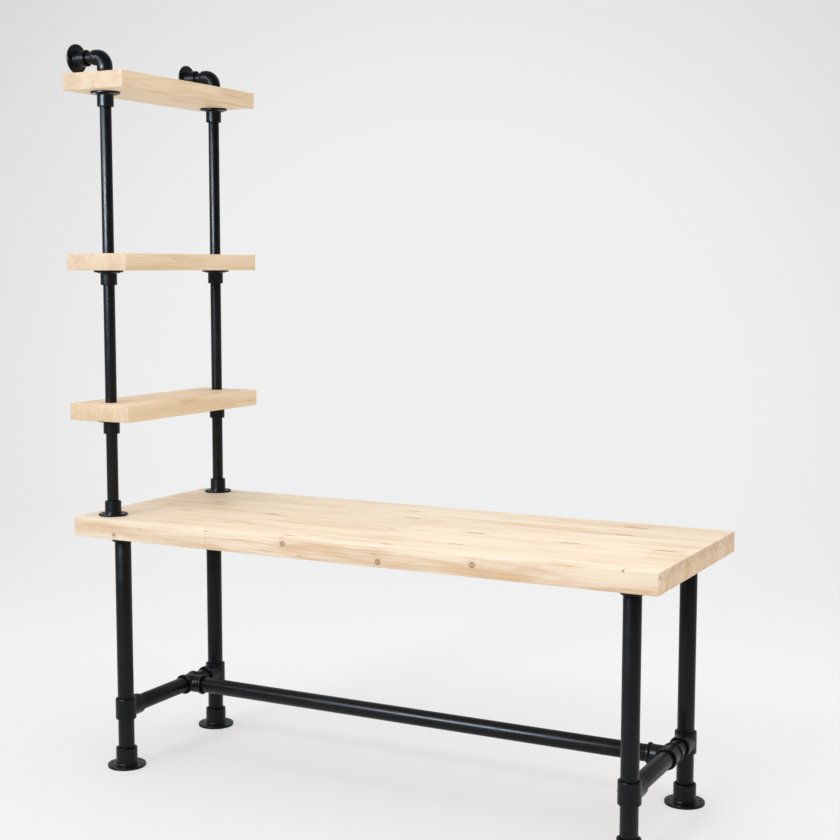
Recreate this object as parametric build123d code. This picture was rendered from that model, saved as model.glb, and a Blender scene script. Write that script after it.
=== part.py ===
from build123d import *
import os
from math import cos, radians, sin

# Pipe-frame potting bench: a thick pine worktop on four pipe legs, with a three-shelf
# pipe tower at its left end.  Millimetres, +Z up, +X along the worktop towards the end
# without shelves, +Y towards the back.  The origin is on the floor, in the middle of the
# overall length (wall flange seats to the right end of the worktop) and of the width.

# Pine boards
worktop_length = 1800.0
worktop_width = 665.0
worktop_thickness = 58.0
worktop_height = 770.0
shelf_depth = 214.0
shelf_overhang = 7.0
shelf_thickness = 49.0
shelf_rises = {"low": 287.0, "middle": 724.0, "top": 1238.0}
board_edge_round = 1.5

# Pipes: 48.3 mm for the legs and rails, 33.7 mm for the tower
leg_pipe_d = 48.3
leg_pipe_wall = 3.2
tower_pipe_d = 33.7
tower_pipe_wall = 2.6

# Where the pipes stand, from the edges of the worktop
leg_inset_x = 100.0
leg_inset_y = 99.0
rail_inset_back = 245.0
rail_height = 178.0
upright_inset_x = 85.0
upright_inset_front = 75.0
upright_inset_back = 50.0
wall_standoff = 20.0

# Cast slip-on fittings
socket_clearance = 0.5
socket_floor = 4.0
leg_collar_wall = 7.35
leg_flange_rim = 25.0
leg_flange_plate = 8.0
leg_flange_height = 58.0
worktop_flange_height = 22.0
leg_hole_d = 6.5
tee_wall = 6.35
tee_shoulder = 0.5
tee_branch_length = 29.0
bead_width = 9.0
bead_height = 3.5
tower_collar_wall = 6.65
tower_flange_rim = 18.5
tower_flange_plate = 6.0
tower_flange_height = 43.0
tower_hole_d = 5.0
flange_holes = 8
hole_place = 0.5
elbow_wall = 5.15
elbow_straight = 15.0
elbow_throat = 2.5
elbow_socket_depth = 20.0
elbow_gap = 10.0
rim_ease = 1.2
root_ease = 2.5

# Fasteners: every second flange hole takes a pan-head wood screw
screws_per_flange = 4
fastener_clearance = 0.05
screw_bite = 0.4
leg_screw = {"shank_d": 5.5, "head_d": 10.5, "head_h": 3.2}
tower_screw = {"shank_d": 4.4, "head_d": 8.6, "head_h": 2.6}
leg_grub_d = 8.0
tower_grub_d = 6.0
grub_stand_out = 1.5
grub_hex_depth = 2.5
rail_grub_offset = 12.0
shelf_hole_clearance = 1.0

# Worked out from the sizes above
overall_length = worktop_length + wall_standoff
left_x = wall_standoff - overall_length / 2
right_x = left_x + worktop_length
front_y = -worktop_width / 2
back_y = worktop_width / 2
wall_x = left_x - wall_standoff
underside = worktop_height - worktop_thickness
leg_r = leg_pipe_d / 2
tower_r = tower_pipe_d / 2
rail_y = back_y - rail_inset_back
leg_xs = {"left": left_x + leg_inset_x, "right": right_x - leg_inset_x}
leg_ys = {"front": front_y + leg_inset_y, "back": back_y - leg_inset_y}
upright_x = left_x + upright_inset_x
upright_ys = {"front": front_y + upright_inset_front, "back": back_y - upright_inset_back}
shelf_heights = {name: worktop_height + rise for name, rise in shelf_rises.items()}
top_shelf_face = shelf_heights["top"] + shelf_thickness
leg_bore_r = leg_r + socket_clearance
tower_bore_r = tower_r + socket_clearance
leg_collar_r = leg_bore_r + leg_collar_wall
leg_flange_r = leg_collar_r + leg_flange_rim
leg_hole_r = leg_collar_r + leg_flange_rim * hole_place
tower_collar_r = tower_bore_r + tower_collar_wall
tower_flange_r = tower_collar_r + tower_flange_rim
tower_hole_r = tower_collar_r + tower_flange_rim * hole_place
tee_r = leg_bore_r + tee_wall
tee_half = tee_r + tee_shoulder
tee_reach = tee_r + tee_branch_length
tee_stop = leg_bore_r + socket_floor
elbow_r = tower_bore_r + elbow_wall
elbow_bend = elbow_r + elbow_throat
elbow_reach = elbow_bend + elbow_straight
elbow_height = top_shelf_face + elbow_gap + elbow_reach

os.makedirs("parts", exist_ok=True)


def save(shape, node):
    shape.label = node
    export_step(shape, f"parts/{node}.step")


def revolved(points):
    """Solid turned about Z from half-profile points given as (radius, height)."""
    outline = Polyline([(r, 0, z) for r, z in points], close=True)
    return revolve(make_face(outline), axis=Axis.Z)


def bar(radius, low, high):
    """Round bar along Z with eased ends."""
    e = rim_ease
    side = [(radius - e, low), (radius, low + e), (radius, high - e), (radius - e, high)]
    return revolved([(0, low)] + side + [(0, high)])


def socket_tool(radius, low, high):
    """Cutting tool for a socket that opens at its high end, with an eased mouth."""
    e = rim_ease
    mouth = [(radius, high - e), (radius + 2 * e, high + e)]
    return revolved([(0, low), (radius, low)] + mouth + [(0, high + e)])


def pipe(outer_d, wall, length):
    """Pipe that stands on the XY plane."""
    tube = Cylinder(outer_d / 2, length) - Cylinder(outer_d / 2 - wall, length)
    return Pos(0, 0, length / 2) * tube


def hole_angles(count):
    """Angles of evenly spaced flange holes, the first one half a step of all holes from +X."""
    first = 180 / flange_holes
    return [first + 360 / count * i for i in range(count)]


def flange(disc_r, plate, height, collar_r, bore_r, floor, hole_ring_r, hole_d):
    """Flange with its seat on the XY plane and its collar up; floor 0 leaves the bore open."""
    e = rim_ease
    outline = [
        (disc_r, 0),
        (disc_r, plate - e),
        (disc_r - e, plate),
        (collar_r + root_ease, plate),
        (collar_r, plate + root_ease),
        (collar_r, height - e),
        (collar_r - e, height),
        (bore_r + e, height),
        (bore_r, height - e),
        (bore_r, floor),
    ]
    if floor:
        outline += [(0, floor), (0, 0)]
    body = revolved(outline)
    for angle in hole_angles(flange_holes):
        x = hole_ring_r * cos(radians(angle))
        y = hole_ring_r * sin(radians(angle))
        body -= Pos(x, y, plate / 2) * Cylinder(hole_d / 2, plate + 2)
    return body


def leg_flange(height):
    return flange(leg_flange_r, leg_flange_plate, height, leg_collar_r, leg_bore_r,
                  socket_floor, leg_hole_r, leg_hole_d)


def tower_flange(floor):
    return flange(tower_flange_r, tower_flange_plate, tower_flange_height, tower_collar_r, tower_bore_r,
                  floor, tower_hole_r, tower_hole_d)


def beaded(radius, low, high, beads):
    """Round bar along Z whose barrel is thinner between raised beads at the named ends."""
    barrel = Pos(0, 0, (low + high) / 2) * Cylinder(radius - bead_height, high - low)
    if "low" in beads:
        barrel += bar(radius, low, low + bead_width)
    if "high" in beads:
        barrel += bar(radius, high - bead_width, high)
    return barrel


def bored_tee(sleeve, branch):
    """Tee from a sleeve bar along Z and a branch bar, which is laid along +Y."""
    to_y = Rot(-90, 0, 0)
    body = sleeve + to_y * branch
    body -= socket_tool(leg_bore_r, -1, tee_half)
    body -= Rot(180, 0, 0) * socket_tool(leg_bore_r, -1, tee_half)
    body -= to_y * socket_tool(leg_bore_r, tee_stop, tee_reach)
    return body


def leg_tee():
    return bored_tee(bar(tee_r, -tee_half, tee_half), bar(tee_r, 0, tee_reach))


def rail_tee():
    sleeve = beaded(tee_r, -tee_half, tee_half, ("low", "high"))
    branch = beaded(tee_r, 0, tee_reach, ("high",))
    return bored_tee(sleeve, branch)


def bent_bar(radius):
    """Round bar from straight below the corner at the origin, bent to straight out along -X."""
    diagonal = elbow_bend * sin(radians(45)) - elbow_bend
    rise = Line((0, 0, -elbow_reach), (0, 0, -elbow_bend))
    turn = ThreePointArc((0, 0, -elbow_bend), (diagonal, 0, diagonal), (-elbow_bend, 0, 0))
    run = Line((-elbow_bend, 0, 0), (-elbow_reach, 0, 0))
    return sweep(Pos(0, 0, -elbow_reach) * Circle(radius), path=Wire([rise, turn, run]))


def elbow():
    """90 degree elbow with its corner at the origin and sockets along -Z and -X."""
    outer = bent_bar(elbow_r)
    passage = bent_bar(tower_r - tower_pipe_wall)
    socket = socket_tool(tower_bore_r, elbow_reach - elbow_socket_depth, elbow_reach)
    return outer - passage - Rot(180, 0, 0) * socket - Rot(0, -90, 0) * socket


def wood_screw(shank_d, head_d, head_h, plate, depth):
    """Pan-head wood screw through a plate of the given thickness into wood below Z 0."""
    shank_r = shank_d / 2
    head_r = head_d / 2
    return revolved([
        (0, -depth),
        (shank_r, shank_d - depth),
        (shank_r, plate),
        (head_r, plate),
        (head_r, plate + head_h * 0.4),
        (head_r * 0.6, plate + head_h),
        (0, plate + head_h),
    ])


def pilot_hole(shank_d, depth):
    """Cutting tool for the hole that a screw leaves in the wood below Z 0."""
    bottom = depth + 1
    return Pos(0, 0, -bottom / 2) * Cylinder(shank_d / 2 + fastener_clearance, bottom)


def screw_places(seat, hole_ring_r):
    """Where the screws of a flange go, from its seat with the collar side up."""
    return [seat * Rot(0, 0, angle) * Pos(hole_ring_r, 0, 0) for angle in hole_angles(screws_per_flange)]


def grub_screw(diameter, pipe_r, casting_r):
    """Grub screw along +X that bears on a pipe centred on the Z axis."""
    length = casting_r + grub_stand_out - pipe_r
    blank = Pos(pipe_r + length / 2, 0, 0) * Rot(0, 90, 0) * Cylinder(diameter / 2, length)
    hexagon = extrude(RegularPolygon(diameter / 4, 6), grub_hex_depth)
    return blank - Pos(pipe_r + length - grub_hex_depth, 0, 0) * Rot(0, 90, 0) * hexagon


def grub_hole(diameter, casting_r):
    """Cutting tool for the hole that a grub screw goes through, along +X."""
    reach = casting_r + grub_stand_out
    return Pos(reach / 2, 0, 0) * Rot(0, 90, 0) * Cylinder(diameter / 2 + fastener_clearance, reach)


def save_fitting(casting, node, place, grub_places, diameter, pipe_r, casting_r):
    """Drill a casting for its grub screws, save it in its place and return the placed screws."""
    for spot in grub_places:
        casting -= spot * grub_hole(diameter, casting_r)
    save(place * casting, node)
    return [place * spot * grub_screw(diameter, pipe_r, casting_r) for spot in grub_places]


def save_leg_fitting(casting, node, place, grub_places, casting_r):
    return save_fitting(casting, node, place, grub_places, leg_grub_d, leg_r, casting_r)


def save_tower_fitting(casting, node, place, grub_places, casting_r):
    return save_fitting(casting, node, place, grub_places, tower_grub_d, tower_r, casting_r)


def collar_grub(plate, height):
    """Grub screw spot half way up a flange's collar, towards +Y."""
    return Pos(0, 0, (plate + root_ease + height) / 2) * Rot(0, 0, 90)


# Legs with their floor flanges, worktop flanges and leg tees.  The tee branches of one
# end face each other, and every sleeve's grub screw faces -X.
upside_down = Rot(0, 180, 0)
branch_middle = (tee_stop + tee_reach) / 2
branch_below = Pos(0, branch_middle, 0) * Rot(0, 90, 0)
leg_grubs = []
leg_head_seats = []
for x_name, x in leg_xs.items():
    for y_name, y in leg_ys.items():
        node_end = f"{y_name}_{x_name}"
        leg = pipe(leg_pipe_d, leg_pipe_wall, underside - 2 * socket_floor)
        save(Pos(x, y, socket_floor) * leg, f"leg_{node_end}")
        collar = collar_grub(leg_flange_plate, leg_flange_height)
        leg_grubs += save_leg_fitting(leg_flange(leg_flange_height), f"floor_flange_{node_end}",
                                      Pos(x, y, 0), [collar], leg_collar_r)
        seat = Pos(x, y, underside) * upside_down
        collar = collar_grub(leg_flange_plate, worktop_flange_height)
        leg_grubs += save_leg_fitting(leg_flange(worktop_flange_height), f"worktop_flange_{node_end}",
                                      seat, [collar], leg_collar_r)
        leg_head_seats.append(seat)
        tee_turn = 0 if y_name == "front" else 180
        place = Pos(x, y, rail_height) * Rot(0, 0, tee_turn)
        sleeve_side = Rot(0, 0, 180 - tee_turn)
        leg_grubs += save_leg_fitting(leg_tee(), f"leg_tee_{node_end}", place,
                                      [sleeve_side, branch_below], tee_r)

# End stretchers, the beaded tees that slide on them, and the long rail between those
stretcher_start = leg_ys["front"] + tee_stop
stretcher_length = leg_ys["back"] - tee_stop - stretcher_start
barrel_r = tee_r - bead_height
for x_name, x in leg_xs.items():
    stretcher = Rot(-90, 0, 0) * pipe(leg_pipe_d, leg_pipe_wall, stretcher_length)
    save(Pos(x, stretcher_start, rail_height) * stretcher, f"end_stretcher_{x_name}")
    up = 1 if x_name == "left" else -1
    place = Plane(origin=(x, rail_y, rail_height), x_dir=(0, 0, up), z_dir=(0, 1, 0)).location
    below = Rot(0, 0, 90 + 90 * up)
    sleeve_spot = Pos(0, 0, rail_grub_offset) * below
    branch_spot = Pos(0, branch_middle, 0) * below
    leg_grubs += save_leg_fitting(rail_tee(), f"rail_tee_{x_name}", place,
                                  [sleeve_spot, branch_spot], barrel_r)
rail_start = leg_xs["left"] + tee_stop
rail_length = leg_xs["right"] - tee_stop - rail_start
rail = Rot(0, 90, 0) * pipe(leg_pipe_d, leg_pipe_wall, rail_length)
save(Pos(rail_start, rail_y, rail_height) * rail, "long_rail")
save(Compound(children=leg_grubs), "leg_frame_grub_screws")

# Tower uprights with their base flanges, shelf flanges, elbows, nipples and wall flanges
upright_bottom = worktop_height + socket_floor
upright_top = elbow_height - elbow_reach + elbow_socket_depth
nipple_start = wall_x + socket_floor
nipple_length = upright_x - elbow_reach + elbow_socket_depth - nipple_start
socket_middle = elbow_reach - elbow_socket_depth / 2
elbow_spots = [Pos(0, 0, -socket_middle) * Rot(0, 0, 90), Pos(-socket_middle, 0, 0) * Rot(0, 0, 90)]
tower_collar = collar_grub(tower_flange_plate, tower_flange_height)
tower_grubs = []
tower_base_seats = []
shelf_seats = {name: [] for name in shelf_heights}
for y_name, y in upright_ys.items():
    upright = pipe(tower_pipe_d, tower_pipe_wall, upright_top - upright_bottom)
    save(Pos(upright_x, y, upright_bottom) * upright, f"upright_{y_name}")
    seat = Pos(upright_x, y, worktop_height)
    tower_grubs += save_tower_fitting(tower_flange(socket_floor), f"base_flange_{y_name}", seat,
                                      [tower_collar], tower_collar_r)
    tower_base_seats.append(seat)
    for shelf_name, height in shelf_heights.items():
        seat = Pos(upright_x, y, height) * upside_down
        tower_grubs += save_tower_fitting(tower_flange(0), f"shelf_flange_{shelf_name}_{y_name}", seat,
                                          [tower_collar], tower_collar_r)
        shelf_seats[shelf_name].append(seat)
    corner = Pos(upright_x, y, elbow_height)
    tower_grubs += save_tower_fitting(elbow(), f"elbow_{y_name}", corner, elbow_spots, elbow_r)
    nipple = Rot(0, 90, 0) * pipe(tower_pipe_d, tower_pipe_wall, nipple_length)
    save(Pos(nipple_start, y, elbow_height) * nipple, f"nipple_{y_name}")
    wall_seat = Pos(wall_x, y, elbow_height) * Rot(0, 90, 0)
    tower_grubs += save_tower_fitting(tower_flange(socket_floor), f"wall_flange_{y_name}", wall_seat,
                                      [tower_collar], tower_collar_r)
save(Compound(children=tower_grubs), "tower_grub_screws")


def board(start_x, length_x, low_z, thickness, screw_groups):
    """Board over the full width of the bench, with its screw holes."""
    plank = fillet(Box(length_x, worktop_width, thickness).edges(), board_edge_round)
    plank = Pos(start_x + length_x / 2, 0, low_z + thickness / 2) * plank
    for places, screw in screw_groups:
        tool = pilot_hole(screw["shank_d"], thickness * screw_bite)
        for place in places:
            plank -= place * tool
    return plank


def save_screws(places, screw, plate, thickness, node):
    blank = wood_screw(**screw, plate=plate, depth=thickness * screw_bite)
    save(Compound(children=[place * blank for place in places]), node)


# Worktop, screwed down on the legs' flanges, with the tower's base flanges screwed on top
leg_places = [place for seat in leg_head_seats for place in screw_places(seat, leg_hole_r)]
base_places = [place for seat in tower_base_seats for place in screw_places(seat, tower_hole_r)]
worktop_groups = [(leg_places, leg_screw), (base_places, tower_screw)]
save(board(left_x, worktop_length, underside, worktop_thickness, worktop_groups), "worktop")
save_screws(leg_places, leg_screw, leg_flange_plate, worktop_thickness, "worktop_flange_screws")
save_screws(base_places, tower_screw, tower_flange_plate, worktop_thickness, "base_flange_screws")

# Shelves, threaded over the uprights and screwed on the flanges below them
for shelf_name, height in shelf_heights.items():
    places = [place for seat in shelf_seats[shelf_name] for place in screw_places(seat, tower_hole_r)]
    shelf = board(left_x - shelf_overhang, shelf_depth, height, shelf_thickness, [(places, tower_screw)])
    for y in upright_ys.values():
        upright_hole = Cylinder(tower_r + shelf_hole_clearance, shelf_thickness + 2)
        shelf -= Pos(upright_x, y, height + shelf_thickness / 2) * upright_hole
    save(shelf, f"shelf_{shelf_name}")
    save_screws(places, tower_screw, tower_flange_plate, shelf_thickness, f"shelf_screws_{shelf_name}")
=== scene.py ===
import math

import bmesh
import bpy
from mathutils import Matrix, Vector


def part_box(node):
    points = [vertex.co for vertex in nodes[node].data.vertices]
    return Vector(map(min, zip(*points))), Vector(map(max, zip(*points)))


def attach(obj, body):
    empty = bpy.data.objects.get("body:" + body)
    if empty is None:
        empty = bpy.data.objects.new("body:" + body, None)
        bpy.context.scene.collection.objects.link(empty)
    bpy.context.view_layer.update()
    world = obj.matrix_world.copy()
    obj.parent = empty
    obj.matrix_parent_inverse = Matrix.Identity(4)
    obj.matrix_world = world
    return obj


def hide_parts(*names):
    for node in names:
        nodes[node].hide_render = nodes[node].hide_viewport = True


# Potting bench: thick pine worktop on a black pipe frame, with a three-shelf pipe tower at
# its left end.  Metres, +Z up, +X to the right end of the worktop, +Y to the back.

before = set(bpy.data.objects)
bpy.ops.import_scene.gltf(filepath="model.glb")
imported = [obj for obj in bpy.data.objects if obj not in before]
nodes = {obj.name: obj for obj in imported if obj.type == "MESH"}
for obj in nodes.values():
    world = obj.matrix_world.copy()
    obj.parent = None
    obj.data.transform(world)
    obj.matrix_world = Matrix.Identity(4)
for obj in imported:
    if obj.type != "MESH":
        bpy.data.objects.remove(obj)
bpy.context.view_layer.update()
scene = bpy.context.scene


# Sizes that the outside of the CAD solids doesn't show
LEG_PIPE_WALL = 0.0032
TOWER_PIPE_WALL = 0.0026
LEG_BORE = 0.02465
TOWER_BORE = 0.01735
LEG_COLLAR = LEG_BORE + 0.00735
TOWER_COLLAR = TOWER_BORE + 0.00665
LEG_PLATE = 0.008
TOWER_PLATE = 0.006
LEG_FLANGE_HOLE = 0.00325
TOWER_FLANGE_HOLE = 0.0025
SOCKET_FLOOR = 0.004
ELBOW_SOCKET_DEPTH = 0.020
ELBOW_THROAT = 0.0025
SHELF_BORE = 0.0179
BEAD_WIDTH = 0.009
BEAD_HEIGHT = 0.0035

# How edges, ends and inner corners are finished
BOARD_ARRIS = 0.0022
PIPE_BURR = 0.0006
CAST_EDGE = 0.0022
CAST_SEAT_EDGE = 0.0006
FLANGE_ROOT = 0.0055
MOUTH_DEPTH = 0.003
SOCKET_LEAD = 0.0028
BAR_EDGE = 0.002
ELBOW_WAIST = 0.0009
MOULD_GRAIN = 0.0013
FETTLE_ROUNDS = 9
CUT_PAST = 0.0006
DRILL_PAST = 0.01


def box(node):
    low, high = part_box(node)
    return low, high, (low + high) / 2


def middle_of(node):
    return box(node)[2]


# ------------------------------------------------------------------ node-tree helpers
class Wiring:
    """Adds nodes to a tree and links them; a value may be a socket, a number or a tuple."""

    def __init__(self, tree):
        self.tree = tree

    def put(self, socket, value):
        if value is None:
            return
        if isinstance(value, bpy.types.NodeSocket):
            self.tree.links.new(value, socket)
        else:
            socket.default_value = value

    def node(self, kind, inputs=None, **settings):
        made = self.tree.nodes.new(kind)
        for name, value in settings.items():
            setattr(made, name, value)
        for name, value in (inputs or {}).items():
            self.put(made.inputs[name], value)
        return made

    def math(self, operation, a, b=None, c=None, clamp=False):
        made = self.node("ShaderNodeMath", operation=operation, use_clamp=clamp)
        for socket, value in zip(made.inputs, (a, b, c)):
            self.put(socket, value)
        return made.outputs[0]

    def vector(self, operation, a, b=None):
        made = self.node("ShaderNodeVectorMath", operation=operation)
        self.put(made.inputs[0], a)
        self.put(made.inputs[1], b)
        return made.outputs["Value" if operation in ("LENGTH", "DOT_PRODUCT") else "Vector"]

    def swing(self, value, centre, amount):
        """How far a value is from its centre, times an amount."""
        return self.math("MULTIPLY", self.math("SUBTRACT", value, centre), amount)

    def split(self, vector):
        return self.node("ShaderNodeSeparateXYZ", {"Vector": vector}).outputs

    def join(self, x=0.0, y=0.0, z=0.0):
        return self.node("ShaderNodeCombineXYZ", {"X": x, "Y": y, "Z": z}).outputs[0]

    def noise(self, vector, scale=1.0, detail=2.0, roughness=0.5, distortion=0.0):
        made = self.node("ShaderNodeTexNoise", {
            "Vector": vector, "Scale": scale, "Detail": detail, "Roughness": roughness,
            "Distortion": distortion})
        return made.outputs["Fac"]

    def dice(self, vector):
        return self.node(
            "ShaderNodeTexWhiteNoise", {"Vector": vector}, noise_dimensions="3D").outputs

    def separate(self, color):
        return self.node("ShaderNodeSeparateColor", {"Color": color}).outputs

    def stretched(self, vector, along, across):
        """A place drawn out along the grain: the lower number is the one along it."""
        return self.vector("MULTIPLY", vector, (along, across, across))

    def ramp(self, value, low, high, to_low=0.0, to_high=1.0, kind="SMOOTHSTEP"):
        """Maps low..high to to_low..to_high and stays within them."""
        made = self.node("ShaderNodeMapRange", interpolation_type=kind)
        for socket, number in zip(made.inputs, (value, low, high, to_low, to_high)):
            self.put(socket, number)
        return made.outputs[0]

    def blend(self, factor, a, b):
        made = self.node("ShaderNodeMix", data_type="RGBA")
        self.put(made.inputs[0], factor)
        self.put(made.inputs[6], a)
        self.put(made.inputs[7], b)
        return made.outputs[2]


def shader_group(name, inputs, outputs):
    """New shader group; returns its wiring, its input sockets by name and its output node."""
    tree = bpy.data.node_groups.new(name, "ShaderNodeTree")
    for title, kind, value in inputs:
        socket = tree.interface.new_socket(title, in_out="INPUT", socket_type=kind)
        if value is not None:
            socket.default_value = value
    for title, kind in outputs:
        tree.interface.new_socket(title, in_out="OUTPUT", socket_type=kind)
    wiring = Wiring(tree)
    entry = wiring.node("NodeGroupInput")
    leave = wiring.node("NodeGroupOutput")
    return wiring, entry.outputs, leave.inputs


def new_material(name):
    material = bpy.data.materials.new(name)
    material.use_nodes = True
    material.node_tree.nodes.clear()
    wiring = Wiring(material.node_tree)
    out = wiring.node("ShaderNodeOutputMaterial")
    return material, wiring, out.inputs["Surface"]


def use_group(wiring, tree, inputs):
    made = wiring.node("ShaderNodeGroup", node_tree=tree)
    for name, value in inputs.items():
        wiring.put(made.inputs[name], value)
    return made.outputs


# ------------------------------------------------------------------ wood
NO_KNOT = 9.0            # far from every knot, counted in knot half sizes
PITH_SWING = 0.034       # how far growth rings wander along a board
KNOT_SWELL = 0.016       # how far a knot pushes them out
FINGER_MARKS = 0.028     # depth of the marked band on a worktop's ends

# How strongly each feature brings in the darker woods
RINGS = 0.27
RINGS_ON_ENDS = 0.30
BROAD_STREAKS = 0.42
NARROW_STREAKS = 0.36
FIGURE_TINT = 0.30
STAVE_TINT = 0.34
END_TINT = 0.22
END_MARK_TINT = 0.40
HALO_TINT = 0.55
KNOT_RING_TINT = 0.85
KNOT_HEART_TINT = 0.35
GLUE_TINT = 0.30
FIBRE_TINT = 0.10


def pine_group():
    """Pine as solid wood: staves glued side by side, growth rings round each stave's pith."""
    w, given, result = shader_group(
        "solid_pine",
        [
            ("Vector", "NodeSocketVector", None),
            ("Stave Width", "NodeSocketFloat", 0.06),
            ("Stave Height", "NodeSocketFloat", 0.08),
            ("Stave Length", "NodeSocketFloat", 1.0),
            ("Ring Spacing", "NodeSocketFloat", 0.0045),
            ("Pith Reach", "NodeSocketFloat", 0.12),
            ("Knot", "NodeSocketFloat", NO_KNOT),
            ("End Grain", "NodeSocketFloat", 0.0),
            ("End Marks", "NodeSocketFloat", 0.0),
            ("Figure", "NodeSocketFloat", 1.0),
            ("Pale", "NodeSocketColor", (0.87, 0.72, 0.54, 1)),
            ("Tan", "NodeSocketColor", (0.68, 0.455, 0.25, 1)),
            ("Bark", "NodeSocketColor", (0.24, 0.105, 0.032, 1)),
        ],
        [
            ("Color", "NodeSocketColor"),
            ("Height", "NodeSocketFloat"),
            ("Roughness", "NodeSocketFloat"),
        ],
    )
    place = given["Vector"]
    pale, tan, bark = given["Pale"], given["Tan"], given["Bark"]
    x, y, z = w.split(place)
    row = w.math("DIVIDE", y, given["Stave Width"])
    layer = w.math("DIVIDE", z, given["Stave Height"])
    row_number = w.math("FLOOR", row)
    layer_number = w.math("FLOOR", layer)
    shift = w.dice(w.join(row_number, layer_number, 3.7))["Value"]
    run = w.math("ADD", w.math("DIVIDE", x, given["Stave Length"]), shift)
    chance = w.dice(w.join(w.math("FLOOR", run), row_number, layer_number))["Color"]
    tone, side, depth = w.separate(chance)

    # Distance from the pith, waved slowly along the board
    wave = w.swing(w.noise(w.stretched(place, 1.6, 9.0)), 0.5, PITH_SWING)
    reach = given["Pith Reach"]
    across = w.swing(w.math("FRACT", row), 0.5, given["Stave Width"])
    down = w.swing(w.math("FRACT", layer), 0.5, given["Stave Height"])
    from_side = w.math("ADD", across, w.swing(side, 0.5, reach))
    from_depth = w.math("ADD", down, w.swing(depth, -0.12, reach))
    radius = w.vector("LENGTH", w.join(from_side, from_depth, 0.0))
    swell = w.math("MULTIPLY", w.ramp(given["Knot"], 0.6, 3.4, 1.0, 0.0), KNOT_SWELL)
    radius = w.math("ADD", w.math("ADD", radius, wave), swell)
    turn = w.math("FRACT", w.math("DIVIDE", radius, given["Ring Spacing"]))
    late_wood = w.math("MULTIPLY", w.ramp(turn, 0.35, 0.86), w.ramp(turn, 0.9, 1.0, 1.0, 0.0))

    # Broad heartwood streaks, narrow streaks and fibre, all drawn out along the grain
    broad = w.ramp(w.noise(w.stretched(place, 2.2, 19.0), 1.0, 3.0, 0.55, 0.5), 0.44, 0.70)
    narrow = w.ramp(w.noise(w.stretched(place, 4.5, 80.0), 1.0, 3.0, 0.6), 0.46, 0.74)
    fibre = w.noise(w.stretched(place, 22.0, 900.0))

    end = given["End Grain"]
    figure = given["Figure"]
    ring_strength = w.math("MULTIPLY_ADD", end, RINGS_ON_ENDS, RINGS)
    streaks = w.math("ADD", w.math("MULTIPLY", broad, BROAD_STREAKS),
                     w.math("MULTIPLY", narrow, NARROW_STREAKS))
    tan_part = w.math("MULTIPLY", late_wood, ring_strength)
    tan_part = w.math("ADD", tan_part, w.math("MULTIPLY", streaks, figure))
    tan_part = w.math("ADD", tan_part, w.swing(figure, 1.0, FIGURE_TINT))
    tan_part = w.math("ADD", tan_part, w.swing(tone, 0.45, STAVE_TINT))
    tan_part = w.math("ADD", tan_part, w.math("MULTIPLY", end, END_TINT), clamp=True)
    color = w.blend(tan_part, pale, tan)

    # Short slanting marks across the end grain, where finger joints come to the surface
    slant = w.join(0.0, w.math("MULTIPLY_ADD", z, 0.8, y), z)
    blotch = w.ramp(w.noise(w.vector("MULTIPLY", slant, (1.0, 150.0, 60.0))), 0.46, 0.62)
    marked = w.math("MULTIPLY", w.math("MULTIPLY", blotch, given["End Marks"]), END_MARK_TINT)
    color = w.blend(marked, color, bark)

    # Short resin ticks and pin knots, scattered thinly
    ticks = w.node("ShaderNodeTexVoronoi", {
        "Vector": w.stretched(place, 13.0, 75.0), "Scale": 1.0, "Randomness": 1.0}).outputs
    rare = w.ramp(w.separate(ticks["Color"])[0], 0.90, 0.93)
    tick = w.math("MULTIPLY", w.ramp(ticks["Distance"], 0.03, 0.20, 1.0, 0.0), rare)
    color = w.blend(w.math("MULTIPLY", tick, w.ramp(end, 0.0, 1.0, 0.5, 0.12)), color, bark)

    # Knots: warm halo, dark ring and a paler heart
    knot = given["Knot"]
    halo = w.ramp(knot, 0.9, 3.0, 1.0, 0.0)
    color = w.blend(w.math("MULTIPLY", halo, HALO_TINT), color, tan)
    ring = w.math("MULTIPLY", w.ramp(knot, 0.35, 0.72), w.ramp(knot, 0.85, 1.45, 1.0, 0.0))
    color = w.blend(w.math("MULTIPLY", ring, KNOT_RING_TINT), color, bark)
    heart = w.ramp(knot, 0.3, 0.75, 1.0, 0.0)
    color = w.blend(w.math("MULTIPLY", heart, KNOT_HEART_TINT), color, bark)

    # Glue lines between staves and butt joints along them
    edge_row = w.math("MULTIPLY", w.math("PINGPONG", row, 0.5), given["Stave Width"])
    edge_layer = w.math("MULTIPLY", w.math("PINGPONG", layer, 0.5), given["Stave Height"])
    edge_run = w.math("MULTIPLY", w.math("PINGPONG", run, 0.5), given["Stave Length"])
    nearest = w.math("MINIMUM", w.math("MINIMUM", edge_row, edge_layer), edge_run)
    seam = w.ramp(nearest, 0.0002, 0.0009, 1.0, 0.0)
    color = w.blend(w.math("MULTIPLY", seam, GLUE_TINT), color, bark)
    color = w.blend(w.math("MULTIPLY", fibre, FIBRE_TINT), color, tan)
    w.put(result["Color"], color)

    # Fibre and late wood stand up; seams and ticks lie a little deeper
    height = w.math("MULTIPLY", fibre, 0.35)
    for feature, rise in ((late_wood, 0.25), (seam, -1.4), (tick, -0.8)):
        height = w.math("ADD", height, w.math("MULTIPLY", feature, rise))
    w.put(result["Height"], height)
    rough = w.math("MULTIPLY_ADD", fibre, 0.16, w.ramp(end, 0.0, 1.0, 0.40, 0.60))
    w.put(result["Roughness"], rough)
    return w.tree


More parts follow.
